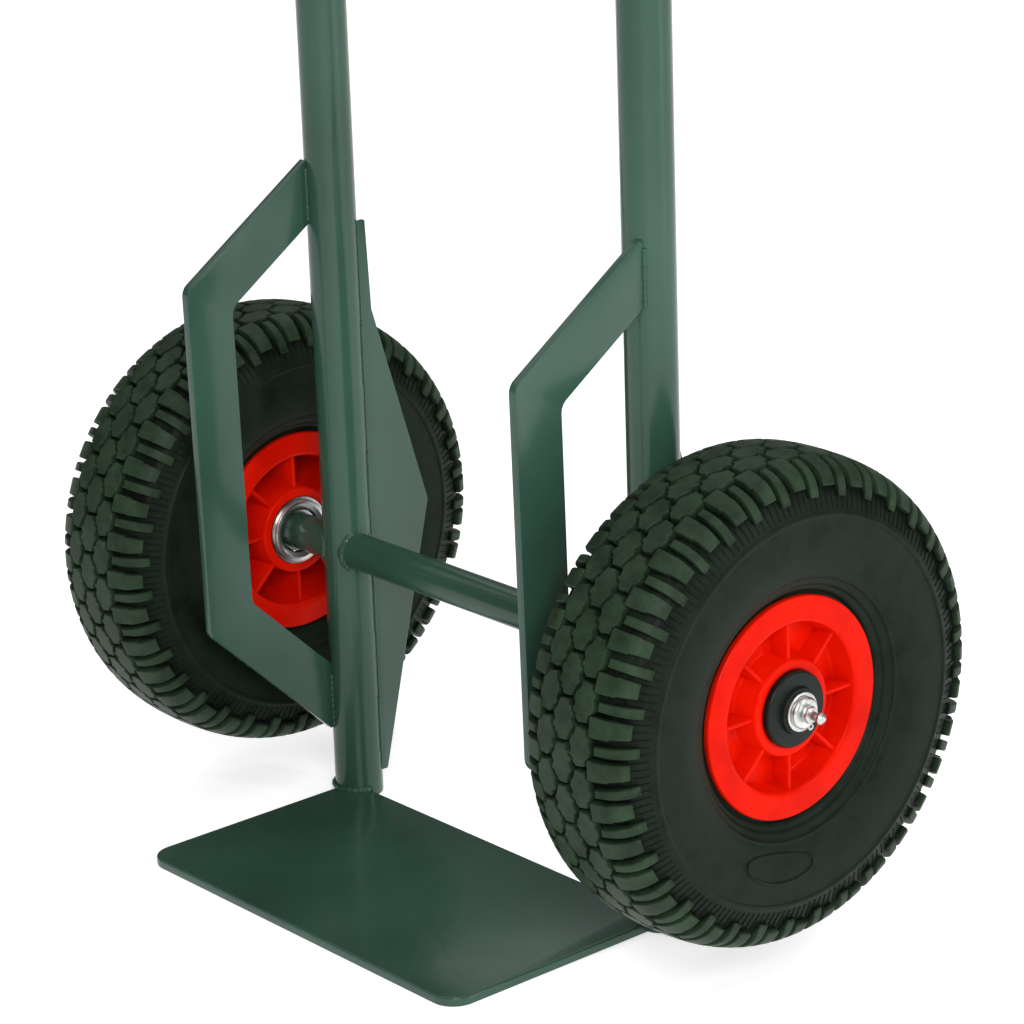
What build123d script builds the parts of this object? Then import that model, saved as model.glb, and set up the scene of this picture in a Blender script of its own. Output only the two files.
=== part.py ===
from build123d import *
import os
from math import cos, radians, sin

os.makedirs("parts", exist_ok=True)

# Frame of the model: X runs along the axle (left is -X), +Y points to the rear, where the user
# stands, and Z is up. The origin is on the floor, midway between the two rails.

# Rails: two round tubes, bent back at the top to carry the grips
rail_spacing = 262.0        # between the two tube centres
rail_od = 28.0
rail_wall = 2.0
rail_straight = 1010.0      # height where the bend starts
bend_radius = 80.0
bend_angle = 60.0
handle_length = 112.3       # straight end after the bend
weld_gap = 0.05             # room between parts that are welded to each other

# Toe plate
plate_width = 268.0
plate_thickness = 5.0
plate_front = -151.0
plate_rear = -3.0
plate_corner = 14.0
plate_edge = 0.6            # chamfer round the upper face

# Axle line and running gear
axle_y = -2.0
axle_z = 152.0
axle_d = 17.0
axle_half_length = 243.0
axle_chamfer = 1.0
sleeve_od = 21.3
sleeve_bore = 17.2
wheel_x = 203.0             # middle plane of a wheel, from the centre of the truck

# Wheel guards: a flat bar bent into a C in front of each rail
guard_width = 30.0
guard_thickness = 5.0
guard_offset = 6.0          # middle of the bar, outboard of the rail centre
guard_line = [(-5.0, 368.4), (-84.0, 314.5), (-82.0, 127.0), (-5.0, 53.0)]
guard_bend = 8.0
guard_bend_limit = -50.0    # the four corners of the bends lie in front of this

# Gusset plates behind each rail, widest at the axle
gusset_thickness = 3.0
gusset_inboard = 11.0       # inner face, inboard of the rail centre
gusset_outline = [(2.0, 344.0), (15.0, 344.0), (17.0, 292.0), (52.0, 171.0), (13.5, 13.0), (2.0, 13.0)]

# Upper cross tubes
cross_od = 22.0
cross_wall = 1.5
cross_heights = {"lower_cross_tube": 570.0, "middle_cross_tube": 780.0, "upper_cross_tube": 985.0}

# Wheel: pneumatic tyre on a moulded rim with a ball bearing at each end of the hub
tyre_radius = 130.0
flange_radius = 59.0
flange_half_width = 30.0
flange_thickness = 4.0
lip_radius = 45.5           # edge of the recess in the rim face
lip_taper = 2.5             # how far the recess narrows down to the web
seat_radius = 51.0
hub_radius = 26.0
hub_half_length = 29.0
web_outer = 16.0            # the web lies outboard of the middle plane, between these two
web_inner = 11.0
rib_count = 8
rib_thickness = 4.0
bearing_od = 40.0
bearing_width = 12.0
bearing_seat_r = 20.02
race_gap_radius = 14.25     # pitch radius of the balls
ball_d = 6.5
ball_groove_r = 3.5
ball_count = 8
outer_race_r = 16.3         # bore of the outer race
inner_race_r = 12.2         # outside of the inner race
axle_bore_r = 8.55
well_radius = 49.0          # bottom of the well between the beads
well_half = 12.0
rib_depth = 26.5            # from the wheel's middle plane to the rib's edge, on both faces
hub_bore_r = 18.0           # between the two bearing seats
rim_edge = 1.5              # chamfer on the corners of the hub and the flange
valve_d = 8.0
valve_angle = -22.5         # from +Y towards +Z, between two ribs
valve_lean = 40.0
valve_u = 12.0
valve_r = 46.0
valve_root = 5.0
valve_hole_length = 8.0
valve_stem = 9.0            # height of the stem, the neck and the cap, one on the other
valve_neck = 2.0
valve_cap = 6.0

# Tyre and inner tube sections
crown_half = 24.0
shoulder_radius = 127.5
bead_outer = 25.9
bead_inner = 17.0
outer_side = [(34.5, 121.0), (37.0, 112.0), (38.8, 88.0)]     # (offset, radius) from shoulder to bead
inner_side = [(32.5, 88.0), (30.0, 108.0), (26.0, 116.0), (18.0, 118.0)]     # from bead to crown
crown_thickness = 11.0
tube_middle_r = 86.0
tube_half_width = 24.0
tube_half_height = 29.0
tube_wall = 1.5

# Axle ends
groove_x = 238.7            # inner side of the circlip groove
groove_d = 15.6
circlip_thickness = 1.2
circlip_od = 20.5
circlip_turn = -135.0       # from straight up to the side its ends lie on
circlip_gap = 2.4
lug_radius = 2.0
lug_hole_radius = 0.8
lug_offset = 2.6            # from the middle of the gap
nipple_thread_d = 6.0
nipple_hole_depth = 8.0
nipple_hex = 8.0
nipple_hex_height = 3.5
nipple_neck_r = 2.2
nipple_neck_length = 9.0
nipple_head = [(47.4, 0.0), (47.4, 1.6), (48.8, 3.2), (50.2, 3.2), (52.0, 1.2), (52.0, 0.0)]
washer_start = 29.6         # stands clear of the bearing seat
washer_thickness = 3.0
washer_edge = 0.8
washer_r = 20.0
washer_collar_r = 12.5
washer_end = 35.6

# Dished ring on the inner bearing: (distance behind the hub's end, radius)
seal_section = [(0.0, 18.6), (2.0, 18.2), (2.4, 16.0), (1.2, 13.4), (0.5, 13.0), (0.5, 14.2), (0.0, 15.8)]

# Grips
grip_od = 34.0
grip_length = 108.0
grip_collar = 40.0
grip_collar_width = 5.0
grip_cap = 9.0              # closed end beyond the rail's own end

sides = {"left": -1, "right": 1}


def write(part, label):
    part.label = label
    export_step(part, f"parts/{label}.step")


def side_plane(x):
    """Plane across the truck at x: its own x is +Y and its own y is +Z."""
    return Plane(origin=(x, 0, 0), x_dir=(0, 1, 0), z_dir=(1, 0, 0))


def axle_plane(x, outward):
    """Plane square to the axle at x, facing outward, centred on the axle line."""
    return Plane(origin=(x, axle_y, axle_z), x_dir=(0, outward, 0), z_dir=(outward, 0, 0))


def wheel_section(side):
    """Plane through the axle line: its own x runs outward from the wheel's middle, y is the radius."""
    return Plane(origin=(side * wheel_x, axle_y, axle_z), x_dir=(side, 0, 0), z_dir=(0, -side, 0))


def wheel_axis(side):
    return Axis((side * wheel_x, axle_y, axle_z), (side, 0, 0))


def handle_end():
    """Where the straight handle starts and the direction it runs in, as (y, z) pairs."""
    turn = radians(bend_angle)
    start = (bend_radius * (1 - cos(turn)), rail_straight + bend_radius * sin(turn))
    return start, (sin(turn), cos(turn))


def mitred_strip(points, width):
    """Outline of a flat bar of constant width whose middle line is the given points."""
    line = [Vector(*p) for p in points]
    normals = [(b - a).normalized().rotate(Axis.Z, 90) for a, b in zip(line, line[1:])]
    offsets = [normals[0]]
    for before, after in zip(normals, normals[1:]):
        middle = (before + after).normalized()
        offsets.append(middle * (1 / middle.dot(before)))
    offsets.append(normals[-1])
    near = [p + n * (width / 2) for p, n in zip(line, offsets)]
    far = [p - n * (width / 2) for p, n in zip(line, offsets)]
    return near + far[::-1]


def rail_cutter(side):
    """Solid cylinder in the place of a rail, for coping whatever is welded to it."""
    with BuildPart() as cutter:
        with BuildSketch(Plane.XY.offset(-10)):
            with Locations((side * rail_spacing / 2, 0)):
                Circle(rail_od / 2 + weld_gap)
        extrude(amount=rail_straight + 10)
    return cutter.part


# ---- frame ----

def make_rail(side):
    (bend_y, bend_z), (run_y, run_z) = handle_end()
    x = side * rail_spacing / 2
    with BuildPart() as rail:
        with BuildLine(side_plane(x)):
            Line((0, 0), (0, rail_straight))
            JernArc(start=(0, rail_straight), tangent=(0, 1), radius=bend_radius, arc_size=-bend_angle)
            Line((bend_y, bend_z), (bend_y + run_y * handle_length, bend_z + run_z * handle_length))
        with BuildSketch(Plane(origin=(x, 0, 0))):
            Circle(rail_od / 2)
            Circle(rail_od / 2 - rail_wall, mode=Mode.SUBTRACT)
        sweep()
        with BuildSketch(axle_plane(x - rail_od, 1)):
            Circle(axle_d / 2 + weld_gap)
        extrude(amount=2 * rail_od, mode=Mode.SUBTRACT)
    return rail.part


def make_toe_plate():
    with BuildPart() as toe_plate:
        with BuildSketch() as outline:
            with Locations((0, (plate_front + plate_rear) / 2)):
                Rectangle(plate_width, plate_rear - plate_front)
            fillet(outline.vertices().group_by(Axis.Y)[0], plate_corner)
            with Locations((-rail_spacing / 2, 0), (rail_spacing / 2, 0)):
                Circle(rail_od / 2 + weld_gap, mode=Mode.SUBTRACT)
        extrude(amount=plate_thickness)
        chamfer(toe_plate.faces().sort_by(Axis.Z)[-1].edges(), plate_edge)
    return toe_plate.part


def make_guard(side):
    x = side * (rail_spacing / 2 + guard_offset)
    with BuildPart() as guard:
        with BuildSketch(side_plane(x)) as outline:
            with BuildLine():
                Polyline(*mitred_strip(guard_line, guard_width), close=True)
            make_face()
            fillet([v for v in outline.vertices() if v.X < guard_bend_limit], guard_bend)
        extrude(amount=guard_thickness / 2, both=True)
        add(rail_cutter(side), mode=Mode.SUBTRACT)
    return guard.part


def make_gusset(side):
    x = side * (rail_spacing / 2 - gusset_inboard)
    with BuildPart() as gusset:
        with BuildSketch(side_plane(x)):
            with BuildLine():
                Polyline(*gusset_outline, close=True)
            make_face()
        extrude(amount=side * gusset_thickness)
        add(rail_cutter(side), mode=Mode.SUBTRACT)
        with BuildSketch(axle_plane(x - rail_od, 1)):
            Circle(sleeve_od / 2 + weld_gap)
        extrude(amount=2 * rail_od, mode=Mode.SUBTRACT)
    return gusset.part


def make_tube(y, z, start_x, end_x, outer_d, inner_d, coped_sides):
    """Tube along X at (y, z), with its ends coped to the rails named."""
    with BuildPart() as tube:
        with BuildSketch(Plane(origin=(start_x, y, z), x_dir=(0, 1, 0), z_dir=(1, 0, 0))):
            Circle(outer_d / 2)
            Circle(inner_d / 2, mode=Mode.SUBTRACT)
        extrude(amount=end_x - start_x)
        for side in coped_sides:
            add(rail_cutter(side), mode=Mode.SUBTRACT)
    return tube.part


def make_axle_shaft():
    with BuildPart() as axle_shaft:
        with BuildSketch(axle_plane(-axle_half_length, 1)):
            Circle(axle_d / 2)
        extrude(amount=2 * axle_half_length)
        chamfer(axle_shaft.edges().filter_by(GeomType.CIRCLE), axle_chamfer)
        for side in sides.values():
            with BuildSketch(axle_plane(side * groove_x, side)):
                Circle(axle_d / 2)
                Circle(groove_d / 2, mode=Mode.SUBTRACT)
            extrude(amount=circlip_thickness + 0.1, mode=Mode.SUBTRACT)
            with BuildSketch(axle_plane(side * (axle_half_length - nipple_hole_depth), side)):
                Circle(nipple_thread_d / 2)
            extrude(amount=nipple_hole_depth, mode=Mode.SUBTRACT)
    return axle_shaft.part


def make_hub_washer(side):
    """Round washer with a raised collar, which holds the outer bearing on the axle."""
    with BuildPart() as washer:
        with BuildSketch(wheel_section(side)):
            with BuildLine():
                Polyline(
                    (hub_half_length, axle_d / 2 + weld_gap),
                    (hub_half_length, inner_race_r),
                    (washer_start, inner_race_r),
                    (washer_start, washer_r),
                    (washer_start + washer_thickness - washer_edge, washer_r),
                    (washer_start + washer_thickness, washer_r - washer_edge),
                    (washer_start + washer_thickness, washer_collar_r),
                    (washer_end, washer_collar_r - 0.5),
                    (washer_end, axle_d / 2 + weld_gap),
                    close=True,
                )
            make_face()
        revolve(axis=wheel_axis(side))
    return washer.part


def make_circlip(side):
    """Open retaining ring with two lugs, in the groove near the end of the axle."""
    lugs = [(offset, circlip_od / 2 + 0.6) for offset in (-lug_offset, lug_offset)]
    with BuildPart() as circlip:
        with BuildSketch(axle_plane(side * (groove_x + 0.05), side)):
            Circle(circlip_od / 2)
            with Locations(*lugs):
                Circle(lug_radius)
            Circle(groove_d / 2 + 0.02, mode=Mode.SUBTRACT)
            with Locations((0, circlip_od / 2)):
                Rectangle(circlip_gap, 4 * lug_radius, mode=Mode.SUBTRACT)
            with Locations(*lugs):
                Circle(lug_hole_radius, mode=Mode.SUBTRACT)
        extrude(amount=circlip_thickness)
    return circlip.part.rotate(wheel_axis(side), circlip_turn)


def make_grease_nipple(side):
    """Screwed-in nipple: threaded shank, hexagon, neck and ball head."""
    face = axle_half_length
    with BuildPart() as nipple:
        with BuildSketch(axle_plane(side * (face - nipple_hole_depth + 0.5), side)):
            Circle(nipple_thread_d / 2 - 0.02)
        extrude(amount=nipple_hole_depth - 0.5)
        with BuildSketch(axle_plane(side * face, side)):
            RegularPolygon(nipple_hex / 2, 6, major_radius=False)
        extrude(amount=nipple_hex_height)
        with BuildSketch(axle_plane(side * face, side)):
            Circle(nipple_neck_r)
        extrude(amount=nipple_neck_length)
        with BuildSketch(wheel_section(side)):
            with BuildLine():
                Polyline(*nipple_head, close=True)
            make_face()
        revolve(axis=wheel_axis(side))
    return nipple.part


# ---- wheels ----

def rim_half(face, web):
    """The rim's section on one face (1 outer, -1 inner), from hub bore to well, with the web's own face at web."""
    return [
        (face * (hub_half_length - bearing_width), hub_bore_r),
        (face * (hub_half_length - bearing_width), bearing_seat_r),
        (face * hub_half_length, bearing_seat_r),
        (face * hub_half_length, hub_radius - rim_edge),
        (face * (hub_half_length - rim_edge), hub_radius),
        (web, hub_radius + rim_edge),
        (web, lip_radius - lip_taper),
        (face * (flange_half_width - rim_edge), lip_radius),
        (face * flange_half_width, lip_radius + rim_edge),
        (face * flange_half_width, flange_radius - rim_edge),
        (face * (flange_half_width - rim_edge), flange_radius),
        (face * (flange_half_width - flange_thickness), flange_radius),
        (face * (flange_half_width - flange_thickness), seat_radius),
        (face * well_half, well_radius),
    ]


def make_rim(side):
    with BuildPart() as rim:
        with BuildSketch(wheel_section(side)):
            with BuildLine():
                Polyline(*rim_half(1, web_outer), *rim_half(-1, web_inner)[::-1], close=True)
            make_face()
        revolve(axis=wheel_axis(side))
        with BuildSketch(axle_plane(side * (wheel_x - rib_depth), side)):
            with PolarLocations(0, rib_count):
                with Locations(((hub_radius + lip_radius) / 2, 0)):
                    Rectangle(lip_radius - hub_radius + rim_edge, rib_thickness)
        extrude(amount=2 * rib_depth)
        with BuildSketch(valve_plane(side)):
            Circle(valve_d / 2 + 0.05)
        extrude(amount=-valve_hole_length, both=True, mode=Mode.SUBTRACT)
    return rim.part


def valve_plane(side):
    """Plane across the valve stem where it leaves the rim, facing the hub on the inner side."""
    turn = radians(valve_angle)
    radial = Vector(0, cos(turn), sin(turn))
    lean = radians(valve_lean)
    direction = radial * -cos(lean) + Vector(-side * sin(lean), 0, 0)
    origin = Vector(side * (wheel_x - valve_u), axle_y, axle_z) + radial * valve_r
    return Plane(origin=origin, x_dir=(0, -sin(turn), cos(turn)), z_dir=direction)


def make_valve(side):
    with BuildPart() as valve:
        with BuildSketch(valve_plane(side).offset(-valve_root)):
            Circle(valve_d / 2)
        extrude(amount=valve_root + valve_stem)
        with BuildSketch(valve_plane(side).offset(valve_stem)):
            Circle(valve_d / 2 - 1.0)
        extrude(amount=valve_neck)
        with BuildSketch(valve_plane(side).offset(valve_stem + valve_neck)):
            Circle(valve_d / 2 - 0.3)
        extrude(amount=valve_cap)
        stem_axis = Axis(valve_plane(side).origin, valve_plane(side).z_dir)
        chamfer(valve.edges().filter_by(GeomType.CIRCLE).sort_by(stem_axis)[-1], 0.6)
    return valve.part


def make_tyre(side):
    """Casing of the tyre: a horseshoe section, open towards the rim, with its beads on the seats."""
    shoulder = (crown_half, shoulder_radius)
    inner_crown = inner_side[-1]
    with BuildPart() as tyre:
        with BuildSketch(wheel_section(side)):
            with BuildLine():
                arcs = [
                    ThreePointArc((-crown_half, shoulder_radius), (0, tyre_radius), shoulder),
                    ThreePointArc(shoulder, outer_side[0], outer_side[1]),
                    ThreePointArc(outer_side[1], outer_side[2], (bead_outer, flange_radius + 1.5)),
                    Line((bead_outer, flange_radius + 1.5), (bead_outer, seat_radius + 0.1)),
                    Line((bead_outer, seat_radius + 0.1), (bead_inner, seat_radius - 0.3)),
                    Line((bead_inner, seat_radius - 0.3), (bead_inner, flange_radius)),
                    ThreePointArc((bead_inner, flange_radius), inner_side[0], inner_side[1]),
                    ThreePointArc(inner_side[1], inner_side[2], inner_crown),
                    ThreePointArc(inner_crown, (0, tyre_radius - crown_thickness), (-inner_crown[0], inner_crown[1])),
                ]
                for edge in arcs[1:8]:
                    mirror(edge, about=Plane.YZ)
            make_face()
        revolve(axis=wheel_axis(side))
    return tyre.part


def make_inner_tube(side):
    """Air tube inside the tyre: a thin closed ring."""
    with BuildPart() as inner_tube:
        with BuildSketch(wheel_section(side)):
            for wall, mode in ((0.0, Mode.ADD), (tube_wall, Mode.SUBTRACT)):
                with Locations((0, tube_middle_r)):
                    Ellipse(tube_half_width - wall, tube_half_height - wall, mode=mode)
        revolve(axis=wheel_axis(side))
    return inner_tube.part


def make_ring(side, start_u, length, outer_r, inner_r, groove_r=0.0):
    """Ring about the axle from start_u outward, with a ball groove where groove_r is given."""
    with BuildPart() as ring:
        with BuildSketch(axle_plane(side * (wheel_x + start_u), side)):
            Circle(outer_r)
            Circle(inner_r, mode=Mode.SUBTRACT)
        extrude(amount=length)
        if groove_r:
            with BuildSketch(wheel_section(side)):
                with Locations((start_u + length / 2, race_gap_radius)):
                    Circle(groove_r)
            revolve(axis=wheel_axis(side), mode=Mode.SUBTRACT)
    return ring.part


def make_balls(side, start_u):
    with BuildPart() as balls:
        ball_plane = axle_plane(side * (wheel_x + start_u + bearing_width / 2), side)
        with Locations(ball_plane):
            with PolarLocations(race_gap_radius, ball_count):
                Sphere(ball_d / 2)
    return balls.part


def make_seal_ring(side):
    """Dished metal ring pressed over the inner bearing."""
    with BuildPart() as seal_ring:
        with BuildSketch(wheel_section(side)):
            with BuildLine():
                Polyline(*[(-hub_half_length - behind, radius) for behind, radius in seal_section], close=True)
            make_face()
        revolve(axis=wheel_axis(side))
    return seal_ring.part


def make_grip(side):
    """Moulded grip over the end of a rail: a collar, a sleeve and a closed round end."""
    (start_y, start_z), (run_y, run_z) = handle_end()
    begin = handle_length - grip_length + grip_cap
    origin = (side * rail_spacing / 2, start_y + run_y * begin, start_z + run_z * begin)
    across = Plane(origin=origin, x_dir=(1, 0, 0), z_dir=(0, run_y, run_z))
    shoulder = grip_length - grip_cap
    with BuildPart() as grip:
        with BuildSketch(across):
            Circle(grip_collar / 2)
        extrude(amount=grip_collar_width)
        with BuildSketch(across):
            Circle(grip_od / 2)
        extrude(amount=grip_length)
        fillet(grip.faces().sort_by(Axis(origin, (0, run_y, run_z)))[-1].edges(), grip_cap - 2.0)
        with BuildSketch(across):
            Circle(rail_od / 2 + weld_gap)
        extrude(amount=shoulder + weld_gap, mode=Mode.SUBTRACT)
        chamfer(grip.edges().filter_by(GeomType.CIRCLE).sort_by(SortBy.RADIUS)[-2:], 1.0)
    return grip.part


write(make_toe_plate(), "toe_plate")
write(make_axle_shaft(), "axle_shaft")
inner_x = rail_spacing / 2
write(make_tube(axle_y, axle_z, -inner_x, inner_x, sleeve_od, sleeve_bore, (-1, 1)), "axle_cross_tube")
for name, height in cross_heights.items():
    write(make_tube(0, height, -inner_x, inner_x, cross_od, cross_od - 2 * cross_wall, (-1, 1)), name)

for name, side in sides.items():
    write(make_rail(side), f"{name}_rail")
    write(make_guard(side), f"{name}_wheel_guard")
    write(make_gusset(side), f"{name}_gusset_plate")
    write(make_grip(side), f"{name}_grip")
    ends = sorted((side * inner_x, side * (wheel_x - hub_half_length)))
    write(make_tube(axle_y, axle_z, *ends, sleeve_od, sleeve_bore, (side,)), f"{name}_axle_sleeve")
    gap = hub_half_length - bearing_width
    write(make_ring(side, -gap, 2 * gap, inner_race_r, axle_bore_r), f"{name}_hub_spacer")
    write(make_hub_washer(side), f"{name}_hub_washer")
    write(make_circlip(side), f"{name}_circlip")
    write(make_grease_nipple(side), f"{name}_grease_nipple")
    write(make_rim(side), f"{name}_rim")
    write(make_tyre(side), f"{name}_tyre")
    write(make_inner_tube(side), f"{name}_inner_tube")
    write(make_valve(side), f"{name}_valve_stem")
    write(make_seal_ring(side), f"{name}_seal_ring")
    for place, start in (("inner", -hub_half_length), ("outer", hub_half_length - bearing_width)):
        outer_race = make_ring(side, start, bearing_width, bearing_od / 2, outer_race_r, ball_groove_r)
        inner_race = make_ring(side, start, bearing_width, inner_race_r, axle_bore_r, ball_groove_r)
        write(outer_race, f"{name}_{place}_outer_race")
        write(inner_race, f"{name}_{place}_inner_race")
        write(make_balls(side, start), f"{name}_{place}_bearing_balls")
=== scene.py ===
import math

import bmesh
import bpy
from mathutils import Matrix, Vector


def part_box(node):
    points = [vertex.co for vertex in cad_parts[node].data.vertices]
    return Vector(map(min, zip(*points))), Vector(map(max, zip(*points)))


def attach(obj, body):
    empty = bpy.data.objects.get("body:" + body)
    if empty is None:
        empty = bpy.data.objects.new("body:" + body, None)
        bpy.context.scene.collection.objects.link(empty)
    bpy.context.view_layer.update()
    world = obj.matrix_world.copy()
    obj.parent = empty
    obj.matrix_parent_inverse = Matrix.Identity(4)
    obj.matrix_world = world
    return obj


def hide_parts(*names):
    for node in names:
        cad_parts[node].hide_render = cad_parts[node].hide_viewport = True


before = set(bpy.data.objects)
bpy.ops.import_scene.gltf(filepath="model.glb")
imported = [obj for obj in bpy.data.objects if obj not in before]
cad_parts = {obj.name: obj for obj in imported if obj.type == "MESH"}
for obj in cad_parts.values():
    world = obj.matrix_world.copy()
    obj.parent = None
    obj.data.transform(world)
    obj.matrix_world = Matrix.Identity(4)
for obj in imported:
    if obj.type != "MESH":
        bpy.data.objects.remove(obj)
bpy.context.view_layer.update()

mm = 0.001
sides = {"left": -1, "right": 1}

# everything that turns or sits on the axle is placed from the tyre's own box
tyreLow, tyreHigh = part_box("right_tyre")
wheelMiddle = (tyreLow + tyreHigh) / 2
axlePoint = Vector((0, wheelMiddle.y, wheelMiddle.z))
railLow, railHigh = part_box("right_rail")
railCentre = (railLow.x + railHigh.x) / 2
railRadius = (railHigh.x - railLow.x) / 2
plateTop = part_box("toe_plate")[1].z


def addNode(tree, kind, inputs=None, **options):
    node = tree.nodes.new(kind)
    for name, value in options.items():
        setattr(node, name, value)
    for name, value in (inputs or {}).items():
        if isinstance(value, bpy.types.NodeSocket):
            tree.links.new(value, node.inputs[name])
        else:
            node.inputs[name].default_value = value
    return node


def startMaterial(name, sockets):
    material = bpy.data.materials.new(name)
    material.use_nodes = True
    tree = material.node_tree
    shader = tree.nodes["Principled BSDF"]
    for label, value in sockets.items():
        shader.inputs[label].default_value = value
    place = addNode(tree, "ShaderNodeTexCoord").outputs["Object"]
    return material, tree, shader, place


def blendColours(tree, factor, stops):
    ramp = addNode(tree, "ShaderNodeValToRGB", {"Fac": factor})
    elements = ramp.color_ramp.elements
    while len(elements) < len(stops):
        elements.new(0.5)
    for element, (position, colour) in zip(elements, stops):
        element.position = position
        element.color = (*colour, 1)
    return ramp.outputs["Color"]


def spread(tree, value, low, high):
    inputs = {"Value": value, "To Min": low, "To Max": high}
    return addNode(tree, "ShaderNodeMapRange", inputs).outputs["Result"]


def noise(tree, place, scale, detail=2.0, rough=0.5):
    inputs = {"Vector": place, "Scale": scale, "Detail": detail, "Roughness": rough}
    return addNode(tree, "ShaderNodeTexNoise", inputs).outputs["Fac"]


def addMath(tree, kind, *values):
    inputs = dict(enumerate(values))
    return addNode(tree, "ShaderNodeMath", inputs, operation=kind).outputs["Value"]


def addBump(tree, shader, height, strength, depth, under=None):
    inputs = {"Height": height, "Strength": strength, "Distance": depth}
    if under:
        inputs["Normal"] = under
    bump = addNode(tree, "ShaderNodeBump", inputs).outputs["Normal"]
    tree.links.new(bump, shader.inputs["Normal"])
    return bump


def axleDistance(tree, place):
    # distance of a point from the axle line, for rings turned or moulded round it
    shifted = addNode(tree, "ShaderNodeVectorMath", {0: place, 1: axlePoint}, operation="SUBTRACT")
    inputs = {0: shifted.outputs["Vector"], 1: (0, 1, 1)}
    flat = addNode(tree, "ShaderNodeVectorMath", inputs, operation="MULTIPLY").outputs["Vector"]
    return addNode(tree, "ShaderNodeVectorMath", {0: flat}, operation="LENGTH").outputs["Value"]


def rings(tree, distance, spacing):
    return addMath(tree, "SINE", addMath(tree, "MULTIPLY", distance, 2 * math.pi / spacing))


enamel = {
    "shade": (0.022, 0.058, 0.041), "middle": (0.029, 0.076, 0.053), "light": (0.037, 0.096, 0.066),
    "roughLow": 0.14, "roughHigh": 0.27, "gloss": 0.30, "coat": 0.05, "coatRough": 0.06,
    "cloudScale": 7.0, "smearScale": 38.0, "peelScale": 520.0,
    "peelBump": (0.35, 0.00012),  # strength, then depth in metres, here and in every Bump below
}


def makeEnamel():
    material, tree, shader, place = startMaterial("greenEnamel", {
        "Coat Weight": enamel["coat"], "Coat Roughness": enamel["coatRough"],
        "Specular IOR Level": enamel["gloss"]})
    cloud = noise(tree, place, enamel["cloudScale"], 4.0)
    stops = [(0.3, enamel["shade"]), (0.5, enamel["middle"]), (0.72, enamel["light"])]
    tree.links.new(blendColours(tree, cloud, stops), shader.inputs["Base Color"])
    smear = noise(tree, place, enamel["smearScale"], 5.0, 0.6)
    rough = spread(tree, smear, enamel["roughLow"], enamel["roughHigh"])
    tree.links.new(rough, shader.inputs["Roughness"])
    peel = noise(tree, place, enamel["peelScale"], 1.5)
    addBump(tree, shader, peel, *enamel["peelBump"])
    return material


zinc = {
    "pale": (0.66, 0.67, 0.65), "dull": (0.40, 0.42, 0.41), "roughLow": 0.22, "roughHigh": 0.42,
    "patchScale": 160.0, "ringPitch": 0.0007, "grainScale": 1500.0,
    "ringBump": (0.25, 0.00004), "grainBump": (0.2, 0.00005),
}


def makeZinc():
    material, tree, shader, place = startMaterial("zincPlate", {"Metallic": 1.0})
    patches = noise(tree, place, zinc["patchScale"], 4.0, 0.6)
    stops = [(0.3, zinc["dull"]), (0.62, zinc["pale"])]
    tree.links.new(blendColours(tree, patches, stops), shader.inputs["Base Color"])
    tree.links.new(spread(tree, patches, zinc["roughHigh"], zinc["roughLow"]), shader.inputs["Roughness"])
    lines = rings(tree, axleDistance(tree, place), zinc["ringPitch"])
    turned = addBump(tree, shader, lines, *zinc["ringBump"])
    grain = noise(tree, place, zinc["grainScale"], 2.0)
    addBump(tree, shader, grain, *zinc["grainBump"], turned)
    return material


bearing = {
    "bright": (0.62, 0.63, 0.64), "oiled": (0.36, 0.35, 0.32), "roughLow": 0.14, "roughHigh": 0.30,
    "filmScale": 90.0, "ringPitch": 0.0004, "ringBump": (0.2, 0.00002),
}


def makeBearingSteel():
    material, tree, shader, place = startMaterial("groundSteel", {"Metallic": 1.0})
    film = noise(tree, place, bearing["filmScale"], 3.0)
    stops = [(0.35, bearing["oiled"]), (0.65, bearing["bright"])]
    tree.links.new(blendColours(tree, film, stops), shader.inputs["Base Color"])
    rough = spread(tree, film, bearing["roughLow"], bearing["roughHigh"])
    tree.links.new(rough, shader.inputs["Roughness"])
    lines = rings(tree, axleDistance(tree, place), bearing["ringPitch"])
    addBump(tree, shader, lines, *bearing["ringBump"])
    return material


redPlastic = {
    "deep": (0.56, 0.0045, 0.0005), "bright": (0.72, 0.0085, 0.0008), "roughLow": 0.18, "roughHigh": 0.30,
    "gloss": 0.045, "flowScale": 26.0, "grainScale": 900.0, "ringPitch": 0.0016,
    "grainBump": (0.25, 0.00006), "ringBump": (0.10, 0.00003),
}


def makeRedPlastic():
    material, tree, shader, place = startMaterial("redRimPlastic", {
        "Specular IOR Level": redPlastic["gloss"], "IOR": 1.48})
    flow = noise(tree, place, redPlastic["flowScale"], 4.0, 0.55)
    stops = [(0.3, redPlastic["deep"]), (0.55, redPlastic["bright"])]
    tree.links.new(blendColours(tree, flow, stops), shader.inputs["Base Color"])
    rough = spread(tree, flow, redPlastic["roughLow"], redPlastic["roughHigh"])
    tree.links.new(rough, shader.inputs["Roughness"])
    grain = noise(tree, place, redPlastic["grainScale"], 3.0)
    skin = addBump(tree, shader, grain, *redPlastic["grainBump"])
    lines = rings(tree, axleDistance(tree, place), redPlastic["ringPitch"])
    addBump(tree, shader, lines, *redPlastic["ringBump"], skin)
    return material


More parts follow.
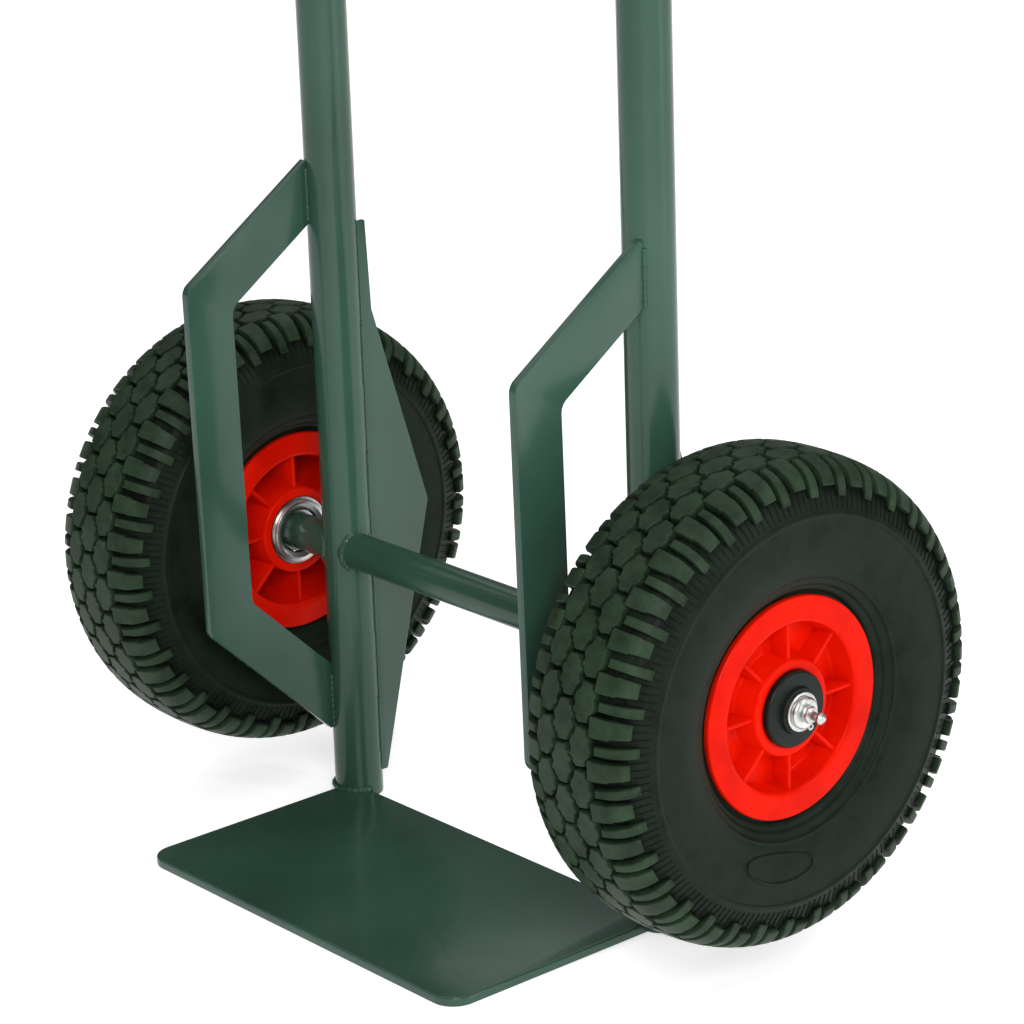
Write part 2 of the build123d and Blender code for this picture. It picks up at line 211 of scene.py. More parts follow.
rubber = {
    # the darkest colour is painted shade low in the tread, the lightest a painted highlight on the outer
    # faces of crown and shoulders; the side wall colour lies between
    "groove": (0.0045, 0.0080, 0.0046), "side": (0.0085, 0.0170, 0.0098), "lighterTone": (0.027, 0.050, 0.027),
    "roughLow": 0.34, "roughHigh": 0.58, "gloss": 0.09, "dustScale": 75.0, "patchLow": 0.50,
    "ringPitch": 0.0021, "grainScale": 700.0, "pinScale": 420.0,
    "ringBump": (0.10, 0.00006), "grainBump": (0.35, 0.00014), "pinBump": (0.4, 0.00010),
    # how far the outside falls away from the crown towards the shoulders
    "shoulderDrop": 0.0096, "shoulderReach": 0.0343, "shoulderCurve": 4.3,
    # depths under the outer radius over which the painted highlight on the outer tread faces comes in
    "paintedLitStart": 0.0090, "paintedLitFull": 0.0003,
}


def treadHeight(tree, place, distance, outerRadius):
    # 0 in the grooves and on the side walls, 1 on the outer faces of crown and shoulders: the share of
    # painted highlight that makes these faces lighter, the rubber lower down staying darker as painted shade
    along = addNode(tree, "ShaderNodeSeparateXYZ", {"Vector": place}).outputs["X"]
    fromWheel = addMath(tree, "SUBTRACT", addMath(tree, "ABSOLUTE", along), wheelMiddle.x)
    share = addMath(tree, "DIVIDE", addMath(tree, "ABSOLUTE", fromWheel), rubber["shoulderReach"])
    curve = addMath(tree, "POWER", share, rubber["shoulderCurve"])
    level = addMath(tree, "MULTIPLY_ADD", curve, rubber["shoulderDrop"], distance)
    low, high = outerRadius - rubber["paintedLitStart"], outerRadius - rubber["paintedLitFull"]
    inputs = {"Value": level, "From Min": low, "From Max": high}
    return addNode(tree, "ShaderNodeMapRange", inputs).outputs["Result"]


def makeTyreRubber(outerRadius):
    material, tree, shader, place = startMaterial("tyreRubber", {
        "IOR": 1.5, "Specular IOR Level": rubber["gloss"]})
    distance = axleDistance(tree, place)
    dust = noise(tree, place, rubber["dustScale"], 5.0, 0.65)
    # lighter on the outer faces of the tread as painted highlight, darker lower down as painted shade, with
    # random dust mixed in
    mixed = addMath(tree, "MULTIPLY_ADD", dust, 0.5, treadHeight(tree, place, distance, outerRadius))
    stops = [(0.26, rubber["side"]), (0.50, rubber["groove"]), (1.0, rubber["lighterTone"])]
    onTyre = blendColours(tree, mixed, stops)
    low = rubber["patchLow"]
    patchy = blendColours(tree, dust, [(0.35, (low, low, low)), (0.65, (1.0, 1.0, 1.0))])
    inputs = {"Factor": 1.0, 6: onTyre, 7: patchy}
    colour = addNode(tree, "ShaderNodeMix", inputs, data_type="RGBA", blend_type="MULTIPLY")
    tree.links.new(colour.outputs[2], shader.inputs["Base Color"])
    rough = spread(tree, dust, rubber["roughLow"], rubber["roughHigh"])
    tree.links.new(rough, shader.inputs["Roughness"])
    mould = addBump(tree, shader, rings(tree, distance, rubber["ringPitch"]), *rubber["ringBump"])
    grain = noise(tree, place, rubber["grainScale"], 4.0, 0.6)
    skin = addBump(tree, shader, grain, *rubber["grainBump"], mould)
    cells = addNode(tree, "ShaderNodeTexVoronoi", {"Vector": place, "Scale": rubber["pinScale"]})
    inputs = {"Value": cells.outputs["Distance"], "From Min": 0.05, "From Max": 0.2}
    pits = addNode(tree, "ShaderNodeMapRange", inputs).outputs["Result"]
    addBump(tree, shader, pits, *rubber["pinBump"], skin)
    return material


plainRubber = {
    "dustScale": 60.0, "roughLow": 0.5, "roughHigh": 0.75, "sheen": 0.1,
    "tubeColour": (0.012, 0.012, 0.012), "tubeCells": 900.0, "tubeBump": (0.5, 0.00004),
    "gripColour": (0.008, 0.011, 0.009), "gripCells": 1300.0, "gripBump": (0.5, 0.00012),
}


def makePlainRubber(name, colour, cellScale, cellBump):
    material, tree, shader, place = startMaterial(name, {"IOR": 1.5, "Sheen Weight": plainRubber["sheen"]})
    dust = noise(tree, place, plainRubber["dustScale"], 4.0, 0.6)
    pale = tuple(1.7 * part + 0.004 for part in colour)
    tree.links.new(blendColours(tree, dust, [(0.35, colour), (0.75, pale)]), shader.inputs["Base Color"])
    rough = spread(tree, dust, plainRubber["roughLow"], plainRubber["roughHigh"])
    tree.links.new(rough, shader.inputs["Roughness"])
    cells = addNode(tree, "ShaderNodeTexVoronoi", {"Vector": place, "Scale": cellScale})
    addBump(tree, shader, cells.outputs["Distance"], *cellBump)
    return material


blackPlastic = {
    "deep": (0.0045, 0.0075, 0.0062), "lighterTone": (0.0095, 0.0150, 0.0120), "roughLow": 0.28, "roughHigh": 0.45,
    "gloss": 0.16, "cloudScale": 120.0, "ringPitch": 0.0011, "grainScale": 1100.0,
    "ringBump": (0.15, 0.00003), "grainBump": (0.3, 0.00006),
}


def makeBlackPlastic():
    material, tree, shader, place = startMaterial("washerPlastic", {
        "IOR": 1.48, "Specular IOR Level": blackPlastic["gloss"]})
    cloud = noise(tree, place, blackPlastic["cloudScale"], 4.0, 0.6)
    stops = [(0.3, blackPlastic["deep"]), (0.7, blackPlastic["lighterTone"])]
    tree.links.new(blendColours(tree, cloud, stops), shader.inputs["Base Color"])
    rough = spread(tree, cloud, blackPlastic["roughLow"], blackPlastic["roughHigh"])
    tree.links.new(rough, shader.inputs["Roughness"])
    lines = rings(tree, axleDistance(tree, place), blackPlastic["ringPitch"])
    turned = addBump(tree, shader, lines, *blackPlastic["ringBump"])
    grain = noise(tree, place, blackPlastic["grainScale"], 2.0)
    addBump(tree, shader, grain, *blackPlastic["grainBump"], turned)
    return material


greenEnamel = makeEnamel()
zincPlate = makeZinc()
groundSteel = makeBearingSteel()
redRimPlastic = makeRedPlastic()
tyreRubber = makeTyreRubber((tyreHigh.z - tyreLow.z) / 2)
tubeRubber = makePlainRubber(
    "tubeRubber", plainRubber["tubeColour"], plainRubber["tubeCells"], plainRubber["tubeBump"])
gripRubber = makePlainRubber(
    "gripRubber", plainRubber["gripColour"], plainRubber["gripCells"], plainRubber["gripBump"])
washerPlastic = makeBlackPlastic()
finishes = {
    "frame_paint": greenEnamel, "zinc_steel": zincPlate, "bearing_steel": groundSteel,
    "rim_plastic": redRimPlastic, "tyre_rubber": tyreRubber, "tube_rubber": tubeRubber,
    "grip_rubber": gripRubber, "black_plastic": washerPlastic,
}
print("hand truck: finishes made")


def finishPiece(name, mesh, body, slot, nodes=()):
    piece = bpy.data.objects.new(name, mesh)
    bpy.context.scene.collection.objects.link(piece)
    mesh.materials.clear()
    mesh.materials.append(finishes[slot])
    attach(piece, body)
    if nodes:
        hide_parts(*nodes)
    return piece


def smoothShade(mesh, angle=32.0):
    mesh.polygons.foreach_set("use_smooth", [True] * len(mesh.polygons))
    mesh.set_sharp_from_angle(angle=math.radians(angle))


def toMesh(shape, name, smoothAngle=32.0):
    bmesh.ops.recalc_face_normals(shape, faces=shape.faces)
    mesh = bpy.data.meshes.new(name)
    shape.to_mesh(mesh)
    shape.free()
    smoothShade(mesh, smoothAngle)
    return mesh


def roundOutline(points, radius, steps=3):
    # every corner of a closed outline becomes a small curve
    rounded = []
    for index, corner in enumerate(points):
        corner = Vector(corner)
        toBefore = Vector(points[index - 1]) - corner
        toAfter = Vector(points[(index + 1) % len(points)]) - corner
        begin = corner + toBefore.normalized() * min(radius, 0.4 * toBefore.length)
        end = corner + toAfter.normalized() * min(radius, 0.4 * toAfter.length)
        for step in range(steps + 1):
            share = step / steps
            rounded.append(begin * (1 - share) ** 2 + corner * 2 * share * (1 - share) + end * share ** 2)
    return rounded


def smoothLine(points, steps):
    # a soft line through every point given
    knots = [Vector(point) for point in points]
    line = []
    for index in range(len(knots) - 1):
        before, here = knots[max(index - 1, 0)], knots[index]
        there, after = knots[index + 1], knots[min(index + 2, len(knots) - 1)]
        for step in range(steps):
            share = step / steps
            line.append(0.5 * (2 * here + (there - before) * share
                               + (2 * before - 5 * here + 4 * there - after) * share ** 2
                               + (3 * here - before - 3 * there + after) * share ** 3))
    return line + [knots[-1]]


def turnSection(section, steps):
    # turns a closed outline of (along the axle, radius) about the X axis
    shape = bmesh.new()
    hoops = []
    for step in range(steps):
        angle = 2 * math.pi * step / steps
        hoops.append([shape.verts.new((along, radius * math.cos(angle), radius * math.sin(angle)))
                      for along, radius in section])
    for step in range(steps):
        here, there = hoops[step], hoops[(step + 1) % steps]
        for index in range(len(section)):
            after = (index + 1) % len(section)
            shape.faces.new((here[index], here[after], there[after], there[index]))
    return shape


def wheelPlace(side):
    # from millimetres about the wheel's own middle, u outward, to the truck
    turn = Matrix.Rotation(math.pi if side < 0 else 0.0, 4, "Z")
    middle = Vector((side * wheelMiddle.x, wheelMiddle.y, wheelMiddle.z))
    return Matrix.Translation(middle) @ turn @ Matrix.Scale(mm, 4)


def startTree(name, settings):
    tree = bpy.data.node_groups.new(name, "GeometryNodeTree")
    tree.interface.new_socket(name="Geometry", in_out="INPUT", socket_type="NodeSocketGeometry")
    for label, kind in settings:
        tree.interface.new_socket(name=label, in_out="INPUT", socket_type="NodeSocket" + kind)
    tree.interface.new_socket(name="Material", in_out="INPUT", socket_type="NodeSocketMaterial")
    tree.interface.new_socket(name="Geometry", in_out="OUTPUT", socket_type="NodeSocketGeometry")
    return tree, addNode(tree, "NodeGroupInput").outputs


def endTree(tree, given, geometry):
    real = addNode(tree, "GeometryNodeRealizeInstances", {"Geometry": geometry})
    inputs = {"Geometry": real.outputs[0], "Material": given["Material"]}
    painted = addNode(tree, "GeometryNodeSetMaterial", inputs)
    addNode(tree, "NodeGroupOutput", {"Geometry": painted.outputs[0]})


def makeRingTree():
    # copies of the piece, evenly spaced round the X axis
    tree, given = startTree("copiesRoundAxle", [("Count", "Int"), ("First Angle", "Float")])
    points = addNode(tree, "GeometryNodeMeshLine", {"Count": given["Count"], "Offset": (0, 0, 0)})
    number = addNode(tree, "GeometryNodeInputIndex").outputs[0]
    turns = addMath(tree, "DIVIDE", number, given["Count"])
    angle = addMath(tree, "MULTIPLY_ADD", turns, 2 * math.pi, given["First Angle"])
    facing = addNode(tree, "ShaderNodeCombineXYZ", {"X": angle})
    copies = addNode(tree, "GeometryNodeInstanceOnPoints", {
        "Points": points.outputs[0], "Instance": given["Geometry"], "Rotation": facing.outputs[0]})
    endTree(tree, given, copies.outputs[0])
    return tree


def makeRowTree():
    # copies of the piece in a straight row along X
    tree, given = startTree("copiesInRow", [("Count", "Int"), ("Spacing", "Float")])
    step = addNode(tree, "ShaderNodeCombineXYZ", {"X": given["Spacing"]})
    points = addNode(tree, "GeometryNodeMeshLine", {"Count": given["Count"], "Offset": step.outputs[0]})
    inputs = {"Points": points.outputs[0], "Instance": given["Geometry"]}
    copies = addNode(tree, "GeometryNodeInstanceOnPoints", inputs)
    endTree(tree, given, copies.outputs[0])
    return tree


def makeWeldTree():
    # a rippled bead along every edge line of the piece
    tree, given = startTree("weldSeam", [
        ("Bead Radius", "Float"), ("Ripple Pitch", "Float"), ("Ripple Depth", "Float"), ("Seed", "Float")])
    line = addNode(tree, "GeometryNodeMeshToCurve", {"Mesh": given["Geometry"]})
    fine = addMath(tree, "MULTIPLY", given["Ripple Pitch"], 0.2)  # five points to each ripple
    inputs = {"Curve": line.outputs[0], "Length": fine}
    even = addNode(tree, "GeometryNodeResampleCurve", inputs, mode="LENGTH")
    along = addNode(tree, "GeometryNodeSplineParameter").outputs["Length"]
    turns = addMath(tree, "DIVIDE", along, given["Ripple Pitch"])
    ripple = addMath(tree, "MULTIPLY_ADD", addMath(tree, "PINGPONG", turns, 1.0), given["Ripple Depth"], 0.85)
    inputs = {"W": given["Seed"], "Scale": 160.0}
    uneven = addNode(tree, "ShaderNodeTexNoise", inputs, noise_dimensions="4D")
    share = addMath(tree, "MULTIPLY_ADD", uneven.outputs[0], 0.5, ripple)  # a hand never welds evenly
    radius = addMath(tree, "MULTIPLY", share, given["Bead Radius"])
    sized = addNode(tree, "GeometryNodeSetCurveRadius", {"Curve": even.outputs[0], "Radius": radius})
    section = addNode(tree, "GeometryNodeCurvePrimitiveCircle", {"Resolution": 10, "Radius": 1.0})
    inputs = {"Curve": sized.outputs[0], "Profile Curve": section.outputs[0], "Fill Caps": True}
    bead = addNode(tree, "GeometryNodeCurveToMesh", inputs)
    if "Scale" in bead.inputs:
        tree.links.new(radius, bead.inputs["Scale"])
    endTree(tree, given, bead.outputs[0])
    return tree


def runTree(mesh, tree, settings, material):
    # the tree's result as a plain mesh of its own
    holder = bpy.data.objects.new(tree.name, mesh)
    bpy.context.scene.collection.objects.link(holder)
    modifier = holder.modifiers.new(tree.name, "NODES")
    modifier.node_group = tree
    values = {**settings, "Material": material}
    for item in tree.interface.items_tree:
        if item.in_out == "INPUT" and item.name in values:
            modifier[item.identifier] = values[item.name]
    graph = bpy.context.evaluated_depsgraph_get()
    result = bpy.data.meshes.new_from_object(holder.evaluated_get(graph), depsgraph=graph)
    bpy.data.objects.remove(holder)
    return result


ringTree, rowTree, weldTree = makeRingTree(), makeRowTree(), makeWeldTree()
print("hand truck: node trees made")


def joinMeshes(name, *meshes):
    shape = bmesh.new()
    for mesh in meshes:
        shape.from_mesh(mesh)
    joined = bpy.data.meshes.new(name)
    shape.to_mesh(joined)
    shape.free()
    smoothShade(joined)
    return joined


def softened(node, name, body, slot, width, segments=2, angle=32.0):
    # a copy of a CAD node with its loose triangles joined and its sharp edges rounded
    shape = bmesh.new()
    shape.from_mesh(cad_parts[node].data)
    bmesh.ops.remove_doubles(shape, verts=shape.verts, dist=2e-6)
    flatLimit = math.radians(1.0)  # triangles of one flat face become one face again
    bmesh.ops.dissolve_limit(shape, angle_limit=flatLimit, verts=shape.verts, edges=shape.edges)
    mesh = bpy.data.meshes.new(name)
    shape.to_mesh(mesh)
    shape.free()
    holder = bpy.data.objects.new(name + "Plain", mesh)
    bpy.context.scene.collection.objects.link(holder)
    bevel = holder.modifiers.new("edges", "BEVEL")
    bevel.width, bevel.segments, bevel.limit_method = width, segments, "ANGLE"
    bevel.angle_limit = math.radians(angle)
    graph = bpy.context.evaluated_depsgraph_get()
    result = bpy.data.meshes.new_from_object(holder.evaluated_get(graph), depsgraph=graph)
    bpy.data.objects.remove(holder)
    result.name = name
    smoothShade(result, angle)
    return finishPiece(name, result, body, slot, [node])


tyre = {
    "pitches": 36, "depth": 5.2, "edgeDepth": 2.4, "chamfer": 0.45, "draft": 0.5,
    "rowOffset": 12.3, "steps": 216, "sink": 0.6, "footSpread": 0.35, "endSpread": 0.4, "finChamfer": 0.15,
    "shoulderStart": 34.0, "shoulderEnd": 47.0,
    # half of the outer line, from the middle of the crown to the upper side wall: (along the axle, radius)
    "crown": [(0, 129.9), (12, 129.5), (22, 128.0), (29.5, 124.9), (34.3, 120.3), (36.8, 114.8),
              (37.7, 109.5), (38.3, 103.6)],
    # down the side wall to the bead, with the moulded ring at its top
    "wall": [(38.95, 102.6), (38.95, 101.2), (38.4, 100.3), (38.6, 95.5), (38.7, 89.0), (38.1, 81.5),
             (36.4, 74.0), (34.9, 70.4), (34.7, 69.2), (33.2, 68.2), (31.6, 65.2), (30.0, 64.2), (28.9, 62.2),
             (27.2, 60.6), (25.9, 59.8), (25.85, 51.3)],
    "inside": [(17.2, 50.7), (17.2, 59.0), (30.5, 76.0), (32.5, 90.0), (30.5, 106.0), (25.0, 115.0),
               (13.0, 118.6)],
}
crownLine = smoothLine(tyre["crown"], 6)
crownLength = sum((b - a).length for a, b in zip(crownLine, crownLine[1:]))
crownRadius = tyre["crown"][0][1]
pitchLength = 2 * math.pi * crownRadius / tyre["pitches"]


def treadDepth(across):
    # full depth over the crown, running out down the shoulder
    shoulder, wallTop = tyre["shoulderStart"], tyre["shoulderEnd"]
    far = abs(across)
    if far < shoulder:
        return tyre["depth"]
    if far < wallTop:
        return tyre["depth"] + (tyre["edgeDepth"] - tyre["depth"]) * (far - shoulder) / (wallTop - shoulder)
    return tyre["edgeDepth"] * max(0.0, (crownLength - far) / (crownLength - wallTop))


def sectionPoint(across, height):
    # a point at a height over the crown line, across millimetres from the middle of the tread
    left = min(abs(across), crownLength - 1e-6)
    for here, there in zip(crownLine, crownLine[1:]):
        span = (there - here).length
        if left <= span:
            break
        left -= span
    way = (there - here) / span
    point = here + way * left + Vector((-way.y, way.x)) * height
    return math.copysign(point.x, across), point.y


def onTread(across, along, height):
    u, radius = sectionPoint(across, height)
    angle = along / crownRadius
    return u, radius * math.cos(angle), radius * math.sin(angle)


def addBlock(shape, outline):
    # a closed block with drafted sides and a softened top edge; the outline is (across, along)
    middle = sum((Vector(point) for point in outline), Vector((0, 0))) / len(outline)
    hoops = []
    for grow, height in ((tyre["draft"], None), (0.0, -tyre["chamfer"]), (-tyre["chamfer"], 0.0)):
        hoop = []
        for point in outline:
            spot = Vector(point) + (Vector(point) - middle).normalized() * grow
            level = -treadDepth(spot.x) - tyre["sink"] if height is None else height
            hoop.append(shape.verts.new(onTread(spot.x, spot.y, level)))
        hoops.append(hoop)
    count = len(outline)
    for low, high in zip(hoops, hoops[1:]):
        for index in range(count):
            after = (index + 1) % count
            shape.faces.new((low[index], low[after], high[after], high[index]))
    peak = shape.verts.new(onTread(middle.x, middle.y, 0.0))
    for index in range(count):
        shape.faces.new((hoops[-1][index], hoops[-1][(index + 1) % count], peak))
    shape.faces.new(hoops[0][::-1])


def addLug(shape, start, end, centre, startHalf, endHalf, rise=None, rows=7):
    # a closed bar across the shoulder from start to end; rise is its height over the casing, on the fins
    chamfer = tyre["chamfer"] if rise is None else tyre["finChamfer"]
    sign = 1 if end > start else -1
    beyond, slope = tyre["endSpread"], tyre["footSpread"]
    stations = [(start - sign * beyond, "low"), (start, "edge")]
    stations += [(start + (end - start) * (0.04 + 0.92 * row / (rows - 1)), "top") for row in range(rows)]
    stations += [(end, "edge"), (end + sign * beyond, "low")]
    lines = []
    for across, kind in stations:
        share = min(1.0, max(0.0, (across - start) / (end - start)))
        half = startHalf + (endHalf - startHalf) * share
        low = -treadDepth(across) - tyre["sink"]
        full = 0.0 if rise is None else -treadDepth(across) + rise
        top = {"low": low, "edge": full - chamfer, "top": full}[kind]
        side = max(low, full - chamfer) if kind != "low" else low
        spots = [(-half - slope, low), (-half, side), (-half + chamfer, top),
                 (half - chamfer, top), (half, side), (half + slope, low)]
        lines.append([shape.verts.new(onTread(across, centre + along, level)) for along, level in spots])
    for here, there in zip(lines, lines[1:]):
        for index in range(len(here)):
            after = (index + 1) % len(here)
            shape.faces.new((here[index], here[after], there[after], there[index]))
    shape.faces.new(lines[0][::-1])
    shape.faces.new(lines[-1])


blocks = {
    # outlines of (across, along), in millimetres about the block's own middle
    "middle": [(-3.2, -10.1), (1.8, -10.4), (3.0, -8.1), (4.3, -7.6), (5.0, -5.4), (7.0, -4.6), (6.2, -2.2),
               (5.4, -1.0), (7.1, 2.4), (5.3, 4.7), (4.4, 7.4), (3.3, 10.2), (-1.8, 10.4), (-3.0, 8.1),
               (-4.3, 7.6), (-5.0, 5.4), (-7.0, 4.6), (-6.2, 2.2), (-5.4, 1.0), (-7.1, -2.4), (-5.3, -4.7),
               (-4.4, -7.4)],
    "side": [(-2.4, -10.3), (2.9, -9.6), (4.0, -7.0), (6.4, -5.6), (6.0, -2.6), (7.2, 1.0), (6.0, 4.6),
             (4.2, 6.0), (3.6, 9.5), (-1.6, 10.2), (-3.4, 8.6), (-4.0, 6.4), (-6.4, 5.0), (-5.2, 2.2),
             (-6.6, -1.2), (-5.6, -4.4), (-3.8, -6.2)],
    # lugs from start to end across the tread: start, end, place along, half width at start and at end
    "lugs": [(17.6, 29.5, -0.3, 5.4, 5.0), (28.5, 41.0, -0.8, 4.9, 4.3), (21.8, 46.5, 11.4, 2.2, 3.1)],
    "fins": 5, "finStart": 47.6, "longFinStart": 42.5, "finEnd": 52.5,
    "finHalf": (0.36, 0.26), "finRise": 0.6,
}


def makePitch():
    # one repeat of the tread: jagged middle blocks, then a wide block and a narrow lug on each shoulder
    shape = bmesh.new()
    addBlock(shape, blocks["middle"])
    sideways, along = tyre["rowOffset"], pitchLength / 2
    for sign in (-1, 1):
        addBlock(shape, [(sign * (sideways + spot[0]), spot[1] + along) for spot in blocks["side"]])
        for start, end, centre, startHalf, endHalf in blocks["lugs"]:
            addLug(shape, sign * start, sign * end, centre, startHalf, endHalf)
        for fin in range(blocks["fins"]):
            place = fin - blocks["fins"] // 2
            start = blocks["longFinStart"] if abs(place) < 2 else blocks["finStart"]
            centre = place * pitchLength / blocks["fins"]
            addLug(shape, sign * start, sign * blocks["finEnd"], centre, *blocks["finHalf"],
                   rise=blocks["finRise"], rows=4)
    return toMesh(shape, "treadPitch", 24.0)


badge = {"radius": 82.0, "halfLength": 24.0, "halfHeight": 7.5, "bead": 1.0, "angle": -103.0, "steps": 72}


def makeBadge(wallLine):
    # a plain raised oval on the outer side wall
    shape = bmesh.new()
    hoops = []
    for step in range(badge["steps"]):
        turn = 2 * math.pi * step / badge["steps"]
        radius = badge["radius"] + badge["halfHeight"] * math.sin(turn)
        below = max((point for point in wallLine if point.y <= radius), key=lambda point: point.y)
        above = min((point for point in wallLine if point.y > radius), key=lambda point: point.y)
        u = below.x + (above.x - below.x) * (radius - below.y) / (above.y - below.y)
        angle = math.radians(badge["angle"]) + badge["halfLength"] * math.cos(turn) / badge["radius"]
        outward = Vector((0, math.cos(turn), math.sin(turn)))  # across the bead, in the wall's own plane
        hoop = []
        for corner in range(8):
            lean = 2 * math.pi * corner / 8
            along = outward.y * badge["bead"] * math.cos(lean) / badge["radius"]
            spot = radius + outward.z * badge["bead"] * math.cos(lean)
            lift = u + badge["bead"] * math.sin(lean)
            place = (lift, spot * math.cos(angle + along), spot * math.sin(angle + along))
            hoop.append(shape.verts.new(place))
        hoops.append(hoop)
    for here, there in zip(hoops, hoops[1:] + hoops[:1]):
        for index in range(8):
            after = (index + 1) % 8
            shape.faces.new((here[index], here[after], there[after], there[index]))
    return toMesh(shape, "badge", 60.0)


def makeCasing():
    reach = int(crownLength // 2.2)
    tread = []
    for step in range(reach + 1):
        across = max(0.001, crownLength * step / reach)
        tread.append(sectionPoint(across, -treadDepth(across)))
    wall = smoothLine([tread[-1]] + tyre["wall"], 4)[1:]
    inside = smoothLine(tyre["inside"] + [(0.0, 119.0)], 3)
    half = [Vector(point) for point in tread] + wall + inside
    section = half + [Vector((-point.x, point.y)) for point in reversed(half[1:-1])]
    carcass = toMesh(turnSection(section, tyre["steps"]), "carcass", 40.0)
    return joinMeshes("casing", carcass, makeBadge(wall))


pitchMesh = makePitch()
treadMesh = runTree(pitchMesh, ringTree, {"Count": tyre["pitches"], "First Angle": 0.0}, tyreRubber)
casingMesh = makeCasing()
for name, side in sides.items():
    place = wheelPlace(side)
    for label, source, nodes in (("Tyre", casingMesh, [f"{name}_tyre"]), ("Tread", treadMesh, [])):
        mesh = source.copy()
        mesh.transform(place)
        finishPiece(name + label, mesh, f"{name}_wheel", "tyre_rubber", nodes)
print("hand truck: tyres made")


rim = {
    "ribs": 8, "ribTop": 27.4, "ribBack": -26.6, "webOuter": 16.0, "webInner": 11.0,
    "ribInner": 25.0, "ribOuter": 45.4, "ribBase": 3.6, "ribEdge": 2.2, "ribSink": 1.0, "ribRound": 0.7,
    "steps": 144, "corner": 1.3,
    # closed section: (outward from the wheel's middle, radius)
    "section": [(17.0, 18.3), (17.0, 20.05), (29.0, 20.05), (29.0, 25.4), (16.0, 28.2), (16.0, 42.8),
                (28.9, 44.8), (30.0, 46.4), (30.0, 58.9), (26.1, 58.9), (26.1, 51.0), (12.0, 49.0),
                (-12.0, 49.0), (-26.1, 51.0), (-26.1, 58.9), (-30.0, 58.9), (-30.0, 46.4), (-28.9, 44.8),
                (11.0, 42.8), (11.0, 28.6), (-29.0, 25.4), (-29.0, 20.05), (-17.0, 20.05), (-17.0, 18.3)],
}


def makeRib(start, end):
    # one rib along +Y, thinner and rounded at its free edge
    shape = bmesh.new()
    corners = []
    for u, half in ((start, rim["ribBase"] / 2), (end, rim["ribEdge"] / 2)):
        near, far = rim["ribInner"], rim["ribOuter"]
        spots = ((near, -half), (far, -half), (far, half), (near, half))
        corners.append([shape.verts.new((u, radius, across)) for radius, across in spots])
    low, high = corners
    for index in range(4):
        after = (index + 1) % 4
        shape.faces.new((low[index], low[after], high[after], high[index]))
    shape.faces.new(low[::-1])
    shape.faces.new(high)
    edges = shape.edges[:]
    bmesh.ops.bevel(shape, geom=edges, offset=rim["ribRound"], segments=3, affect="EDGES", profile=0.5)
    return toMesh(shape, "rib", 40.0)


barrelMesh = toMesh(turnSection(roundOutline(rim["section"], rim["corner"]), rim["steps"]), "barrel", 40.0)
outerRib = makeRib(rim["webOuter"] - rim["ribSink"], rim["ribTop"])
innerRib = makeRib(rim["webInner"] + rim["ribSink"], rim["ribBack"])
ribMesh = joinMeshes("ribPair", outerRib, innerRib)
ribsMesh = runTree(ribMesh, ringTree, {"Count": rim["ribs"], "First Angle": 0.0}, redRimPlastic)
rimMesh = joinMeshes("rim", barrelMesh, ribsMesh)
for name, side in sides.items():
    mesh = rimMesh.copy()
    mesh.transform(wheelPlace(side))
    finishPiece(name + "Rim", mesh, f"{name}_wheel", "rim_plastic", [f"{name}_rim"])
print("hand truck: rims made")


rounding = {
    # how far sharp edges are rounded, in metres
    "washer": 0.0005, "nipple": 0.00035, "circlip": 0.00015, "sleeve": 0.0004, "seal": 0.0002,
    "valve": 0.0003, "axle": 0.0003, "toePlate": 0.0007, "guard": 0.0007, "gusset": 0.0005,
}
for name in sides:
    wheel = f"{name}_wheel"
    softened(f"{name}_hub_washer", name + "HubWasher", "frame", "black_plastic", rounding["washer"], 3)
    softened(f"{name}_grease_nipple", name + "GreaseNipple", "frame", "zinc_steel", rounding["nipple"])
    softened(f"{name}_circlip", name + "Circlip", "frame", "zinc_steel", rounding["circlip"])
    softened(f"{name}_axle_sleeve", name + "AxleSleeve", "frame", "frame_paint", rounding["sleeve"])
    softened(f"{name}_seal_ring", name + "SealRing", wheel, "zinc_steel", rounding["seal"])
    softened(f"{name}_valve_stem", name + "ValveStem", wheel, "tube_rubber", rounding["valve"])
softened("axle_shaft", "axleShaft", "frame", "zinc_steel", rounding["axle"])
print("hand truck: hub and axle fittings made")


softened("toe_plate", "toePlate", "frame", "frame_paint", rounding["toePlate"], 3, 20.0)
for name in sides:
    softened(f"{name}_wheel_guard", name + "WheelGuard", "frame", "frame_paint", rounding["guard"], 3)
    softened(f"{name}_gusset_plate", name + "GussetPlate", "frame", "frame_paint", rounding["gusset"])

weld = {
    "footRadius": 0.0015, "saddleRadius": 0.0014, "flatRadius": 0.0010,
    "pitch": 0.0018, "ripple": 0.22, "seed": 4.0,
    # how far the middle of a bead stands off the tube, rail or plate under it
    "footLift": 0.0004, "tubeLift": 0.0003, "axleLift": 0.0004, "gussetLift": 0.0002,
    # stitches behind the gussets, the two joints of each guard, and the arc round the foot of a rail
    "stitch": 0.034, "stitchGap": 0.075, "stitchStart": 0.012, "clearOfAxle": 0.03,
    "guardJoint": (0.0345, 0.0045), "guardFoot": (0.0005, 0.0335), "footArc": (188, 352),
}


def arcPath(centre, radius, begin, end, steps=48):
    # level arc in degrees about a rail
    turns = [math.radians(begin + (end - begin) * step / steps) for step in range(steps + 1)]
    return [centre + Vector((radius * math.cos(turn), radius * math.sin(turn), 0)) for turn in turns]


